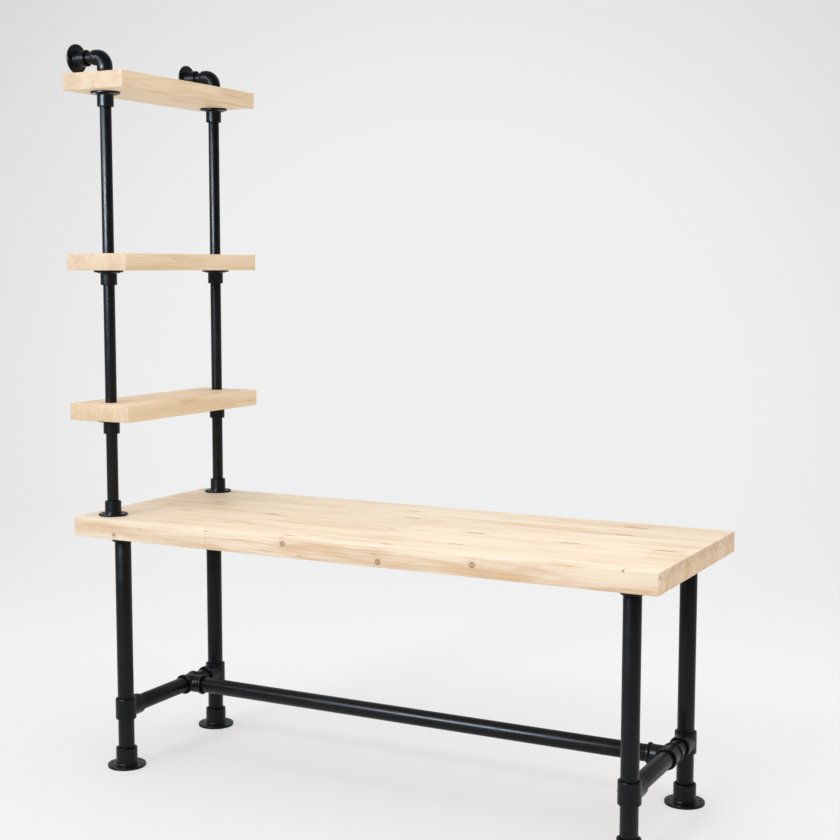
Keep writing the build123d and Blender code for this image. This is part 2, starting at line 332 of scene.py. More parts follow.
def knot_group(name, knots):
    """Smallest distance to any knot, counted in that knot's own half sizes."""
    w, given, result = shader_group(
        name, [("Vector", "NodeSocketVector", None)], [("Knot", "NodeSocketFloat")])
    nearest = NO_KNOT
    for centre, half in knots:
        away = w.vector("DIVIDE", w.vector("SUBTRACT", given["Vector"], centre), half)
        nearest = w.math("MINIMUM", w.vector("LENGTH", away), nearest)
    wobble = w.swing(w.noise(given["Vector"], 90.0), 0.5, 0.5)
    w.put(result["Knot"], w.math("ADD", nearest, wobble))
    return w.tree


def pine_material(name, pine, sizes, shift, turned=False, knots=None, edge_figure=1.0,
                  marked_above=None):
    """Pine finish; turned boards have their grain along Y instead of X."""
    material, w, surface = new_material(name)
    own_place = w.node("ShaderNodeTexCoord").outputs["Object"]
    normal = w.node("ShaderNodeNewGeometry").outputs["Normal"]
    nx, ny, _ = w.split(normal)
    px, py, pz = w.split(own_place)
    along, across = (ny, nx) if turned else (nx, ny)
    place = w.join(py, px, pz) if turned else own_place
    end = w.ramp(w.math("ABSOLUTE", along), 0.6, 0.8)
    figure = w.ramp(w.math("ABSOLUTE", across), 0.6, 0.8, 1.0, edge_figure)
    inputs = {
        "Vector": w.vector("ADD", place, shift), "End Grain": end, "Figure": figure, **sizes}
    if knots:
        inputs["Knot"] = use_group(w, knots, {"Vector": own_place})["Knot"]
    if marked_above:
        upper = w.ramp(pz, marked_above, marked_above + 0.004)
        inputs["End Marks"] = w.math("MULTIPLY", end, upper)
    grain = use_group(w, pine, inputs)
    bump = w.node("ShaderNodeBump", {
        "Height": grain["Height"], "Strength": 0.35, "Distance": 0.0006})
    shader = w.node("ShaderNodeBsdfPrincipled", {
        "Base Color": grain["Color"], "Roughness": grain["Roughness"],
        "Normal": bump.outputs[0], "Specular IOR Level": 0.45})
    w.put(surface, shader.outputs[0])
    return material


# ------------------------------------------------------------------ metal
def coat_group():
    """Fine orange peel, cast pitting, dust and rubbed spots for painted metal."""
    w, given, result = shader_group(
        "painted_metal_surface",
        [
            ("Vector", "NodeSocketVector", None),
            ("Peel Scale", "NodeSocketFloat", 700.0),
            ("Pit Scale", "NodeSocketFloat", 240.0),
            ("Pit Depth", "NodeSocketFloat", 0.3),
            ("Dust", "NodeSocketFloat", 0.25),
            ("Paint", "NodeSocketColor", (0.0045, 0.0048, 0.0056, 1)),
            ("Dusty", "NodeSocketColor", (0.035, 0.033, 0.031, 1)),
        ],
        [
            ("Color", "NodeSocketColor"),
            ("Height", "NodeSocketFloat"),
            ("Roughness", "NodeSocketFloat"),
        ],
    )
    place = given["Vector"]
    peel = w.noise(place, given["Peel Scale"], 2.0)
    pits = w.ramp(w.noise(place, given["Pit Scale"], 3.0, 0.6), 0.35, 0.65)
    clouds = w.ramp(w.noise(place, 14.0, 3.0, 0.6), 0.42, 0.75)
    film = w.math("MULTIPLY", w.math("MULTIPLY", clouds, given["Dust"]), w.noise(place, 420.0, 2.0))
    w.put(result["Color"], w.blend(film, given["Paint"], given["Dusty"]))
    pitting = w.math("MULTIPLY", pits, given["Pit Depth"])
    w.put(result["Height"], w.math("MULTIPLY_ADD", peel, 0.4, pitting))
    spread = w.math("MULTIPLY_ADD", clouds, 0.10, w.math("MULTIPLY", peel, 0.08))
    w.put(result["Roughness"], spread)
    return w.tree


def metal_material(name, coat, rough, values, metallic=0.0, level=0.5, strength=0.25):
    """Painted or bare metal: its roughness, its film's values, its shine and its bump."""
    material, w, surface = new_material(name)
    place = w.node("ShaderNodeTexCoord").outputs["Object"]
    film = use_group(w, coat, {"Vector": place, **values})
    bump = w.node("ShaderNodeBump", {
        "Height": film["Height"], "Strength": strength, "Distance": 0.0004})
    shader = w.node("ShaderNodeBsdfPrincipled", {
        "Base Color": film["Color"], "Roughness": w.math("ADD", film["Roughness"], rough),
        "Normal": bump.outputs[0], "Metallic": metallic, "Specular IOR Level": level})
    w.put(surface, shader.outputs[0])
    return material


worktop_low, worktop_high, _ = box("worktop")
top_z = worktop_high.z
front_y = worktop_low.y

# Long thin knots of the worktop's top face: place x, y in m, half length and half width in mm
top_knots = [
    (-0.667, -0.079, 20, 3.4), (-0.668, 0.098, 22, 3.4), (-0.430, -0.201, 16, 2.8),
    (-0.400, -0.023, 20, 3.2), (0.046, -0.083, 12, 2.2), (0.010, 0.111, 20, 3.8),
    (0.305, -0.209, 16, 2.8), (0.281, -0.033, 26, 4.2), (0.569, -0.054, 24, 3.4),
    (0.658, 0.131, 24, 3.8), (0.649, 0.254, 30, 4.2), (0.834, -0.045, 26, 3.6),
    (-0.158, -0.307, 14, 2.8), (-0.048, 0.224, 18, 3.2), (0.141, -0.296, 12, 2.6),
]
# Round knots of its front edge: place x, z in m, radius in mm
front_knots = [
    (-0.164, 0.750, 6.6), (0.134, 0.727, 6.6), (0.411, 0.744, 6.8), (-0.744, 0.727, 4.5),
    (0.819, 0.767, 2.6),
]
TOP_KNOT_DEPTH = 0.012
FRONT_KNOT_DEPTH = 0.02
worktop_knots = [
    ((x, y, top_z), (a / 1000, b / 1000, TOP_KNOT_DEPTH)) for x, y, a, b in top_knots]
worktop_knots += [
    ((x, front_y, z), (r / 1000, FRONT_KNOT_DEPTH, r / 1000)) for x, z, r in front_knots]

# The shifts keep the seams between staves off the faces of the boards
pine = pine_group()
pine_worktop = pine_material(
    "pine_worktop", pine,
    sizes={"Stave Width": 0.0558, "Stave Height": 0.08, "Stave Length": 0.86,
           "Pale": (0.88, 0.755, 0.595, 1)},
    shift=(0.183, 0.2787, -0.70), knots=knot_group("worktop_knots", worktop_knots),
    edge_figure=1.6, marked_above=top_z - FINGER_MARKS)
pine_shelf = pine_material(
    "pine_shelf", pine,
    sizes={"Stave Width": 0.109, "Stave Height": 0.5, "Stave Length": 3.0, "Pith Reach": 0.10,
           "Pale": (0.89, 0.72, 0.50, 1)},
    shift=(0.4, 0.899, 0.2), turned=True)

PAINT_ROUGH = 0.26
PAINT_SHINE = 0.17
BARE_STEEL = (0.20, 0.20, 0.21, 1)
coat = coat_group()
pipe_paint = metal_material(
    "pipe_paint", coat, PAINT_ROUGH, {"Dust": 0.12, "Pit Depth": 0.1}, level=PAINT_SHINE,
    strength=0.12)
cast_paint = metal_material(
    "cast_paint", coat, PAINT_ROUGH, {"Dust": 0.16, "Pit Depth": 0.5}, level=PAINT_SHINE)
grub_steel = metal_material(
    "grub_steel", coat, 0.30, {"Dust": 0.1, "Pit Depth": 0.2}, metallic=0.6)
screw_steel = metal_material(
    "screw_steel", coat, 0.28, {"Dust": 0.2, "Pit Depth": 0.2, "Paint": BARE_STEEL},
    metallic=1.0)


# ------------------------------------------------------------------ shapes
def eased(corners, steps=4):
    """Profile whose corners, given as (radius, height, ease), are rounded by their ease."""
    points = []
    for index, (radius, height, ease) in enumerate(corners):
        here = Vector((radius, height))
        if not ease:
            points.append(here)
            continue
        to_last = Vector(corners[index - 1][:2]) - here
        to_next = Vector(corners[(index + 1) % len(corners)][:2]) - here
        start = here + to_last.normalized() * ease
        end = here + to_next.normalized() * ease
        for step in range(steps + 1):
            t = step / steps
            points.append(start * (1 - t) ** 2 + here * (2 * t * (1 - t)) + end * t ** 2)
    return points


def finish_shape(shape, name):
    """Closes a bmesh's seams, turns its faces outwards and returns it as a mesh."""
    bmesh.ops.remove_doubles(shape, verts=shape.verts, dist=1e-6)
    bmesh.ops.recalc_face_normals(shape, faces=shape.faces)
    mesh = bpy.data.meshes.new(name)
    shape.to_mesh(mesh)
    shape.free()
    return mesh


def lathe(name, points, sides=72):
    """Closed shape turned about Z from a closed profile of (radius, height) points."""
    shape = bmesh.new()
    rings = []
    for radius, height in points:
        ring = []
        for i in range(sides):
            turn = math.tau * i / sides
            spot = (radius * math.cos(turn), radius * math.sin(turn), height)
            ring.append(shape.verts.new(spot))
        rings.append(ring)
    for ring, following in zip(rings, rings[1:] + rings[:1]):
        if ring[0].co.xy.length < 1e-9 and following[0].co.xy.length < 1e-9:
            continue
        for i in range(sides):
            j = (i + 1) % sides
            shape.faces.new((ring[i], ring[j], following[j], following[i]))
    return finish_shape(shape, name)


def plain(thing):
    """The evaluated shape of an object as a mesh of its own."""
    depsgraph = bpy.context.evaluated_depsgraph_get()
    depsgraph.update()
    return bpy.data.meshes.new_from_object(thing.evaluated_get(depsgraph), depsgraph=depsgraph)


def bench_object(name, mesh):
    thing = bpy.data.objects.new(name, mesh)
    scene.collection.objects.link(thing)
    return thing


def carve(body, cutter):
    """Body mesh with the cutter mesh taken away."""
    thing = bench_object("being_carved", body)
    tool = bench_object("carving_tool", cutter)
    modifier = thing.modifiers.new("carve", "BOOLEAN")
    modifier.operation = "DIFFERENCE"
    modifier.solver = "EXACT"
    modifier.object = tool
    carved = plain(thing)
    bpy.data.objects.remove(thing)
    bpy.data.objects.remove(tool)
    return carved


def cast_together(name, meshes):
    """One cast body from overlapping closed meshes, its inner corners filled as in a mould."""
    shape = bmesh.new()
    for mesh in meshes:
        shape.from_mesh(mesh)
    joined = bpy.data.meshes.new(name)
    shape.to_mesh(joined)
    shape.free()
    thing = bench_object(name, joined)
    remesh = thing.modifiers.new("mould", "REMESH")
    remesh.mode = "VOXEL"
    remesh.voxel_size = MOULD_GRAIN
    smooth = thing.modifiers.new("fettle", "SMOOTH")
    smooth.factor = 0.5
    smooth.iterations = FETTLE_ROUNDS
    body = plain(thing)
    bpy.data.objects.remove(thing)
    return body


def along(direction):
    """Rotation that lays the Z axis of a shape along a direction."""
    return Vector(direction).to_track_quat("Z", "Y").to_matrix().to_4x4()


def moved(mesh, place):
    copy = mesh.copy()
    copy.transform(place)
    return copy


def add_piece(name, mesh, finish, node, crease=38.0):
    """Smooth-shaded piece in place of a CAD node, riding on the bench."""
    mesh.shade_smooth()
    mesh.set_sharp_from_angle(angle=math.radians(crease))
    mesh.materials.clear()
    mesh.materials.append(finish)
    mesh.name = name
    piece = bench_object(name, mesh)
    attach(piece, "root")
    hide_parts(node)
    return piece


# ------------------------------------------------------------------ repeated shapes
def input_key(tree, title):
    """Identifier of a tree's input, which is what a modifier stores its value under."""
    for item in tree.interface.items_tree:
        if item.name == title and getattr(item, "in_out", "") == "INPUT":
            return item.identifier
    raise KeyError(title)


def geometry_tree(name, inputs):
    tree = bpy.data.node_groups.new(name, "GeometryNodeTree")
    tree.interface.new_socket("Geometry", in_out="INPUT", socket_type="NodeSocketGeometry")
    for title, kind, value in inputs:
        socket = tree.interface.new_socket(title, in_out="INPUT", socket_type=kind)
        if value is not None:
            socket.default_value = value
    tree.interface.new_socket("Geometry", in_out="OUTPUT", socket_type="NodeSocketGeometry")
    wiring = Wiring(tree)
    entry = wiring.node("NodeGroupInput")
    leave = wiring.node("NodeGroupOutput")
    return wiring, entry.outputs, leave.inputs["Geometry"]


def drilling_tree():
    """Drills evenly spaced holes on a circle through a flange that lies on the XY plane."""
    w, given, result = geometry_tree("drilled_flange", [
        ("Holes", "NodeSocketInt", 8),
        ("Hole Ring Radius", "NodeSocketFloat", 0.0445),
        ("Hole Radius", "NodeSocketFloat", 0.00325),
        ("Plate", "NodeSocketFloat", 0.008),
        ("Finish", "NodeSocketMaterial", None),
    ])
    ring = w.node("GeometryNodeMeshCircle", {
        "Vertices": given["Holes"], "Radius": given["Hole Ring Radius"]})
    step = w.math("DIVIDE", math.pi, given["Holes"])
    half_plate = w.math("MULTIPLY", given["Plate"], 0.5)
    places = w.node("GeometryNodeTransform", {
        "Geometry": ring.outputs[0], "Rotation": w.join(0.0, 0.0, step),
        "Translation": w.join(0.0, 0.0, half_plate)})
    drill = w.node("GeometryNodeMeshCylinder", {
        "Vertices": 20, "Radius": given["Hole Radius"],
        "Depth": w.math("MULTIPLY", given["Plate"], 1.5)})
    drills = w.node("GeometryNodeInstanceOnPoints", {
        "Points": places.outputs[0], "Instance": drill.outputs["Mesh"]})
    solid = w.node("GeometryNodeRealizeInstances", {"Geometry": drills.outputs[0]})
    drilled = w.node("GeometryNodeMeshBoolean", {
        "Mesh 1": given["Geometry"], "Mesh 2": solid.outputs[0]},
        operation="DIFFERENCE", solver="EXACT")
    plain_mesh = w.node("GeometryNodeRealizeInstances", {"Geometry": drilled.outputs[0]})
    painted = w.node("GeometryNodeSetMaterial", {
        "Geometry": plain_mesh.outputs[0], "Material": given["Finish"]})
    w.put(result, painted.outputs[0])
    return w.tree


def fastener_tree():
    """Sets a fastener on each mark, its head out along the mark's facing, turned by chance."""
    w, given, result = geometry_tree("fasteners_on_marks", [
        ("Fastener", "NodeSocketObject", None),
        ("Seed", "NodeSocketInt", 1),
        ("Finish", "NodeSocketMaterial", None),
    ])
    source = w.node("GeometryNodeObjectInfo", {"Object": given["Fastener"], "As Instance": True})
    facing = w.node(
        "GeometryNodeInputNamedAttribute", {"Name": "facing"}, data_type="FLOAT_VECTOR")
    aim = w.node("FunctionNodeAlignRotationToVector", {"Vector": facing.outputs[0]}, axis="Z")
    roll = w.node("FunctionNodeRandomValue", {
        2: 0.0, 3: math.tau, "Seed": given["Seed"]}, data_type="FLOAT")
    turn = w.node("FunctionNodeAxisAngleToRotation", {
        "Axis": (0.0, 0.0, 1.0), "Angle": roll.outputs[1]})
    both = w.node("FunctionNodeRotateRotation", {
        "Rotation": aim.outputs[0], "Rotate By": turn.outputs[0]}, rotation_space="LOCAL")
    placed = w.node("GeometryNodeInstanceOnPoints", {
        "Points": given["Geometry"], "Instance": source.outputs["Geometry"],
        "Rotation": both.outputs[0]})
    plain_mesh = w.node("GeometryNodeRealizeInstances", {"Geometry": placed.outputs[0]})
    painted = w.node("GeometryNodeSetMaterial", {
        "Geometry": plain_mesh.outputs[0], "Material": given["Finish"]})
    w.put(result, painted.outputs[0])
    return w.tree


def grown(mesh, tree, values):
    """Mesh that a geometry tree makes from another mesh and named values."""
    thing = bench_object("growing", mesh)
    modifier = thing.modifiers.new("grow", "NODES")
    modifier.node_group = tree
    for title, value in values.items():
        modifier[input_key(tree, title)] = value
    made = plain(thing)
    bpy.data.objects.remove(thing)
    return made


def solids_of(node):
    """The separate solids of a CAD node, each as a list of its points."""
    shape = bmesh.new()
    shape.from_mesh(nodes[node].data)
    bmesh.ops.remove_doubles(shape, verts=shape.verts, dist=1e-6)
    waiting = set(shape.verts)
    solids = []
    while waiting:
        reached = [waiting.pop()]
        points = []
        while reached:
            vertex = reached.pop()
            points.append(vertex.co.copy())
            for edge in vertex.link_edges:
                other = edge.other_vert(vertex)
                if other in waiting:
                    waiting.remove(other)
                    reached.append(other)
        solids.append(points)
    shape.free()
    return solids


def marks_of(node):
    """Where each fastener of a CAD node has the outer end of its head, and which way it faces."""
    marks = []
    for points in solids_of(node):
        low = Vector([min(p[i] for p in points) for i in range(3)])
        high = Vector([max(p[i] for p in points) for i in range(3)])
        size = high - low
        middle = (low + high) / 2
        axis = min(range(3), key=lambda i: abs(size[i - 1] - size[i - 2]))
        average = sum((p[axis] for p in points), 0.0) / len(points)
        facing = Vector((0, 0, 0))
        facing[axis] = 1.0 if average > middle[axis] else -1.0
        tip = middle.copy()
        tip[axis] = high[axis] if facing[axis] > 0 else low[axis]
        marks.append((tip, facing))
    return marks


def marks_mesh(marks):
    mesh = bpy.data.meshes.new("marks")
    mesh.from_pydata([tuple(tip) for tip, _ in marks], [], [])
    facing = mesh.attributes.new("facing", "FLOAT_VECTOR", "POINT")
    for index, (_, way) in enumerate(marks):
        facing.data[index].vector = way
    return mesh


# ------------------------------------------------------------------ boards
def board(node, finish, bores):
    """Board with softened arrises, bored for the pipes that pass through it."""
    low, high, middle = box(node)
    shape = bmesh.new()
    bmesh.ops.create_cube(shape, size=1.0)
    bmesh.ops.scale(shape, vec=high - low, verts=shape.verts)
    bmesh.ops.translate(shape, vec=middle, verts=shape.verts)
    bmesh.ops.bevel(
        shape, geom=shape.edges[:], offset=BOARD_ARRIS, segments=4, profile=0.5, affect="EDGES")
    mesh = finish_shape(shape, node)
    for bore in bores:
        axis = middle_of(bore)
        below, above = low.z - DRILL_PAST, high.z + DRILL_PAST
        drill = lathe("drill", [(0, below), (SHELF_BORE, below), (SHELF_BORE, above), (0, above)])
        mesh = carve(mesh, moved(drill, Matrix.Translation((axis.x, axis.y, 0))))
    add_piece(f"{node}_board", mesh, finish, node, crease=50)


LEVELS = ("low", "middle", "top")
SIDES = ("front", "back")
CORNERS = ("front_left", "back_left", "front_right", "back_right")

board("worktop", pine_worktop, [])
for level in LEVELS:
    board(f"shelf_{level}", pine_shelf, ["upright_front", "upright_back"])


# ------------------------------------------------------------------ pipes
def pipe_piece(node, wall, axis):
    """Steel pipe with deburred ends, along one axis of its CAD node."""
    low, high, middle = box(node)
    length = (high - low)[axis]
    outer = (high - low)[(axis + 1) % 3] / 2
    inner = outer - wall
    corners = [(inner, 0), (outer, 0), (outer, length), (inner, length)]
    profile = eased([(*corner, PIPE_BURR) for corner in corners], 2)
    direction = Vector((0, 0, 0))
    direction[axis] = 1.0
    start = middle.copy()
    start[axis] = low[axis]
    mesh = moved(lathe(node, profile, 64), Matrix.Translation(start) @ along(direction))
    add_piece(f"{node}_pipe", mesh, pipe_paint, node)


for corner in CORNERS:
    pipe_piece(f"leg_{corner}", LEG_PIPE_WALL, 2)
for end in ("left", "right"):
    pipe_piece(f"end_stretcher_{end}", LEG_PIPE_WALL, 1)
pipe_piece("long_rail", LEG_PIPE_WALL, 0)
for side in SIDES:
    pipe_piece(f"upright_{side}", TOWER_PIPE_WALL, 2)
    pipe_piece(f"nipple_{side}", TOWER_PIPE_WALL, 0)


# ------------------------------------------------------------------ cast fittings
def casting(node, shape, place):
    add_piece(f"{node}_casting", moved(shape, place), cast_paint, node)


def flange_of(node, floor, plate, collar, bore, hole):
    """Flange with its seat on the XY plane, its outer sizes read from a CAD node.

    It has a drilled disc, a swept root and a softened socket mouth.
    """
    low, high, _ = box(node)
    disc = (high.x - low.x) / 2
    height = high.z - low.z
    root = min(FLANGE_ROOT, (height - plate) * 0.35)
    corners = [
        (disc, 0, CAST_SEAT_EDGE),
        (disc, plate, CAST_EDGE),
        (collar, plate, root),
        (collar, height, CAST_EDGE),
        (bore + CAST_EDGE, height, 0.0010),
        (bore, height - MOUTH_DEPTH, 0.0012),
        (bore, floor, 0),
    ]
    if floor:
        corners += [(0, floor, 0), (0, 0, 0)]
    else:
        corners.append((bore, 0, 0))
    return grown(lathe("flange", eased(corners, 5), 96), drill_flange, {
        "Holes": 8, "Hole Ring Radius": (disc + collar) / 2, "Hole Radius": hole,
        "Plate": plate, "Finish": cast_paint})


def flange_piece(node, shape, seat, direction):
    casting(node, shape, Matrix.Translation(seat) @ along(direction))


def socket_cutter(radius, low, high):
    """Cutting tool for a socket that opens at its high end, with a rounded lead-in."""
    past = high + CUT_PAST
    corners = [(0, low, 0), (radius, low, 0), (radius, high - SOCKET_LEAD, 0.001),
               (radius + SOCKET_LEAD, past, 0), (0, past, 0)]
    return lathe("socket_cutter", eased(corners, 4), 64)


def cast_bar(radius, low, high):
    corners = [(0, low, 0), (radius, low, BAR_EDGE), (radius, high, BAR_EDGE), (0, high, 0)]
    return lathe("cast_bar", eased(corners, 4), 72)


TO_Y = along((0, 1, 0))
FLIP = Matrix.Rotation(math.pi, 4, "X")


def tee_shape(name, bars, half, reach, bore, stop):
    """Tee with its sleeve along Z and its branch along +Y, from the bars that fill its mould."""
    body = cast_together(name, bars)
    for cutter in (
        socket_cutter(bore, -0.001, half),
        moved(socket_cutter(bore, -0.001, half), FLIP),
        moved(socket_cutter(bore, stop, reach), TO_Y),
    ):
        body = carve(body, cutter)
    return body


def elbow_shape(radius, bore, bend, reach, depth):
    """Elbow with its corner at the origin and sockets that open along -Z and -X."""
    # Each station is a centre, an angle round the bend and a radius; rims are rounded in steps
    rim = ((0, 1.0), (0.0004, 0.55), (0.0012, 0.2), (CAST_EDGE, 0))
    quarter = math.pi / 2
    stations = [(Vector((0, 0, back - reach)), 0.0, radius - CAST_EDGE * part)
                for back, part in rim]
    stations.append((Vector((0, 0, -bend - BAR_EDGE)), 0.0, radius))
    for step in range(21):
        angle = quarter * step / 20
        centre = Vector((bend * (math.cos(angle) - 1), 0, bend * (math.sin(angle) - 1)))
        stations.append((centre, angle, radius - ELBOW_WAIST * math.sin(2 * angle)))
    stations.append((Vector((-bend - BAR_EDGE, 0, 0)), quarter, radius))
    stations += [(Vector((back - reach, 0, 0)), quarter, radius - CAST_EDGE * part)
                 for back, part in reversed(rim)]
    sides = 56
    shape = bmesh.new()
    rings = []
    for centre, angle, size in stations:
        outward = Vector((math.cos(angle), 0, math.sin(angle)))
        ring = []
        for i in range(sides):
            turn = math.tau * i / sides
            way = outward * math.cos(turn) + Vector((0, 1, 0)) * math.sin(turn)
            ring.append(shape.verts.new(centre + way * size))
        rings.append(ring)
    for ring, following in zip(rings, rings[1:]):
        for i in range(sides):
            j = (i + 1) % sides
            shape.faces.new((ring[i], ring[j], following[j], following[i]))
    shape.faces.new(rings[0])
    shape.faces.new(rings[-1])
    body = finish_shape(shape, "elbow")
    socket = socket_cutter(bore, reach - depth, reach)
    body = carve(body, moved(socket, FLIP))
    return carve(body, moved(socket, along((-1, 0, 0))))


drill_flange = drilling_tree()
leg_sizes = (LEG_PLATE, LEG_COLLAR, LEG_BORE, LEG_FLANGE_HOLE)
tower_sizes = (TOWER_PLATE, TOWER_COLLAR, TOWER_BORE, TOWER_FLANGE_HOLE)
foot_shape = flange_of("floor_flange_front_left", SOCKET_FLOOR, *leg_sizes)
head_shape = flange_of("worktop_flange_front_left", SOCKET_FLOOR, *leg_sizes)
closed_shape = flange_of("base_flange_front", SOCKET_FLOOR, *tower_sizes)
open_shape = flange_of("shelf_flange_low_front", 0, *tower_sizes)
UP, DOWN, RIGHT = (0, 0, 1), (0, 0, -1), (1, 0, 0)
for corner in CORNERS:
    low, _, middle = box(f"floor_flange_{corner}")
    flange_piece(f"floor_flange_{corner}", foot_shape, (middle.x, middle.y, low.z), UP)
    _, high, middle = box(f"worktop_flange_{corner}")
    flange_piece(f"worktop_flange_{corner}", head_shape, (middle.x, middle.y, high.z), DOWN)
for side in SIDES:
    low, _, middle = box(f"base_flange_{side}")
    flange_piece(f"base_flange_{side}", closed_shape, (middle.x, middle.y, low.z), UP)
    low, _, middle = box(f"wall_flange_{side}")
    flange_piece(f"wall_flange_{side}", closed_shape, (low.x, middle.y, middle.z), RIGHT)
    for level in LEVELS:
        node = f"shelf_flange_{level}_{side}"
        _, high, middle = box(node)
        flange_piece(node, open_shape, (middle.x, middle.y, high.z), DOWN)

# Leg tees are smooth; rail tees have a thin barrel between beads
tee_low, tee_high, _ = box("leg_tee_front_left")
tee_half = (tee_high.z - tee_low.z) / 2
tee_radius = (tee_high.x - tee_low.x) / 2
tee_reach = tee_high.y - tee_low.y - tee_radius
tee_stop = LEG_BORE + SOCKET_FLOOR
leg_tee = tee_shape("leg_tee", [
    cast_bar(tee_radius, -tee_half, tee_half),
    moved(cast_bar(tee_radius - 0.0006, 0, tee_reach), TO_Y),
], tee_half, tee_reach, LEG_BORE, tee_stop)
barrel = tee_radius - BEAD_HEIGHT
rail_tee = tee_shape("rail_tee", [
    cast_bar(barrel, -tee_half + BAR_EDGE, tee_half - BAR_EDGE),
    cast_bar(tee_radius, -tee_half, BEAD_WIDTH - tee_half),
    cast_bar(tee_radius, tee_half - BEAD_WIDTH, tee_half),
    moved(cast_bar(barrel, 0, tee_reach - BAR_EDGE), TO_Y),
    moved(cast_bar(tee_radius, tee_reach - BEAD_WIDTH, tee_reach), TO_Y),
], tee_half, tee_reach, LEG_BORE, tee_stop)
for corner in CORNERS:
    leg = middle_of(f"leg_{corner}")
    tee = middle_of(f"leg_tee_{corner}")
    turn = 0.0 if corner.startswith("front") else math.pi
    place = Matrix.Translation((leg.x, leg.y, tee.z)) @ Matrix.Rotation(turn, 4, "Z")
    casting(f"leg_tee_{corner}", leg_tee, place)
rail = middle_of("long_rail")
for end, way in (("left", 1), ("right", -1)):
    stretcher = middle_of(f"end_stretcher_{end}")
    turned = Matrix(((0, way, 0, 0), (0, 0, 1, 0), (way, 0, 0, 0), (0, 0, 0, 1)))
    place = Matrix.Translation((stretcher.x, rail.y, rail.z)) @ turned
    casting(f"rail_tee_{end}", rail_tee, place)

elbow_low, elbow_high, _ = box("elbow_front")
elbow_radius = (elbow_high.y - elbow_low.y) / 2
elbow_reach = elbow_high.z - elbow_low.z - elbow_radius
elbow = elbow_shape(
    elbow_radius, TOWER_BORE, elbow_radius + ELBOW_THROAT, elbow_reach, ELBOW_SOCKET_DEPTH)
for side in SIDES:
    upright = middle_of(f"upright_{side}")
    nipple = middle_of(f"nipple_{side}")
    corner = (upright.x, middle_of(f"elbow_{side}").y, nipple.z)
    casting(f"elbow_{side}", elbow, Matrix.Translation(corner))


# ------------------------------------------------------------------ fasteners
def pan_screw(shank, head, head_height, length):
    """Pan-head wood screw with a cross recess; the top of its head is at the origin."""
    corners = [
        (0, 0, 0),
        (head * 0.62, -head_height * 0.04, head * 0.2),
        (head, -head_height * 0.55, head * 0.12),
        (head, -head_height, 0.0002),
        (shank, -head_height, 0),
        (shank, shank * 2 - length, 0),
        (0, -length, 0),
    ]
    body = lathe("pan_screw", eased(corners, 3), 24)
    deep = head_height * 0.6
    for turn in (0, math.pi / 2):
        blade = bmesh.new()
        bmesh.ops.create_cube(blade, size=1.0)
        bmesh.ops.scale(blade, vec=(head * 1.05, head * 0.24, deep * 2), verts=blade.verts)
        bmesh.ops.rotate(
            blade, cent=(0, 0, 0), matrix=Matrix.Rotation(turn, 3, "Z"), verts=blade.verts)
        body = carve(body, finish_shape(blade, "driver_blade"))
    return body


def grub_screw(radius, length):
    """Socket grub screw with a chamfered rim; its outer end is at the origin."""
    ease = radius * 0.16
    corners = [(0, 0, 0), (radius, 0, ease), (radius, -length, ease), (0, -length, 0)]
    body = lathe("grub_screw", eased(corners, 2), 24)
    deep, past = -0.0025, 0.001
    key = [(0, deep), (radius * 0.52, deep), (radius * 0.58, past), (0, past)]
    return carve(body, lathe("hex_key", key, 6))


def fasteners(node, shape, finish):
    source = bench_object("fastener_source", shape)
    values = {"Fastener": source, "Seed": len(node), "Finish": finish}
    mesh = grown(marks_mesh(marks_of(node)), set_fasteners, values)
    bpy.data.objects.remove(source)
    add_piece(f"{node}_set", mesh, finish, node, crease=30)


set_fasteners = fastener_tree()
leg_screw = pan_screw(shank=0.00275, head=0.00525, head_height=0.0032, length=0.030)
tower_screw = pan_screw(shank=0.0022, head=0.0043, head_height=0.0026, length=0.026)
leg_grub = grub_screw(radius=0.004, length=0.0045)
tower_grub = grub_screw(radius=0.003, length=0.0060)
fasteners("worktop_flange_screws", leg_screw, screw_steel)
fasteners("base_flange_screws", tower_screw, screw_steel)
for level in LEVELS:
    fasteners(f"shelf_screws_{level}", tower_screw, screw_steel)
fasteners("leg_frame_grub_screws", leg_grub, grub_steel)
fasteners("tower_grub_screws", tower_grub, grub_steel)


# ------------------------------------------------------------------ studio
BACKDROP = (0.862, 0.862, 0.867)
BACKDROP_MIDDLE = (-0.439, 0.893, -0.101)
FLOOR_COLOR = (0.80, 0.795, 0.80)
FLOOR_RADIUS = 40
# Cosines of the angles where the backdrop is dimmest and where it is full, and its least shade
BACKDROP_EDGE, BACKDROP_FULL, BACKDROP_DIM = 0.92, 0.9827, 0.786
# Strengths in front of the bench, and what is added behind it
FILL, FILL_BEHIND = 0.55, 0.10
MIRRORED, MIRRORED_BEHIND = 0.07, 0.55
CAMERA_PLACE = (2.0584, -3.809, 1.5073)
CAMERA_LENS = 65.154
CAMERA_HEADING, CAMERA_TILT, CAMERA_ROLL = 27.35, 84.224, 0.0787
NEUTRAL = (0.98, 0.98, 1.0)
WARM = (1.0, 0.98, 0.96)
COOL = (0.72, 0.86, 1.0)


def backdrop_group():
    """How bright the backdrop is in a direction from the camera: it falls off to the sides."""
    w, given, result = shader_group(
        "backdrop_falloff", [("Direction", "NodeSocketVector", None)],
        [("Shade", "NodeSocketFloat")])
    way = w.vector("NORMALIZE", given["Direction"])
    near_middle = w.vector("DOT_PRODUCT", way, BACKDROP_MIDDLE)
    shade = w.ramp(near_middle, BACKDROP_EDGE, BACKDROP_FULL, BACKDROP_DIM, 1.0, "LINEAR")
    w.put(result["Shade"], shade)
    return w.tree


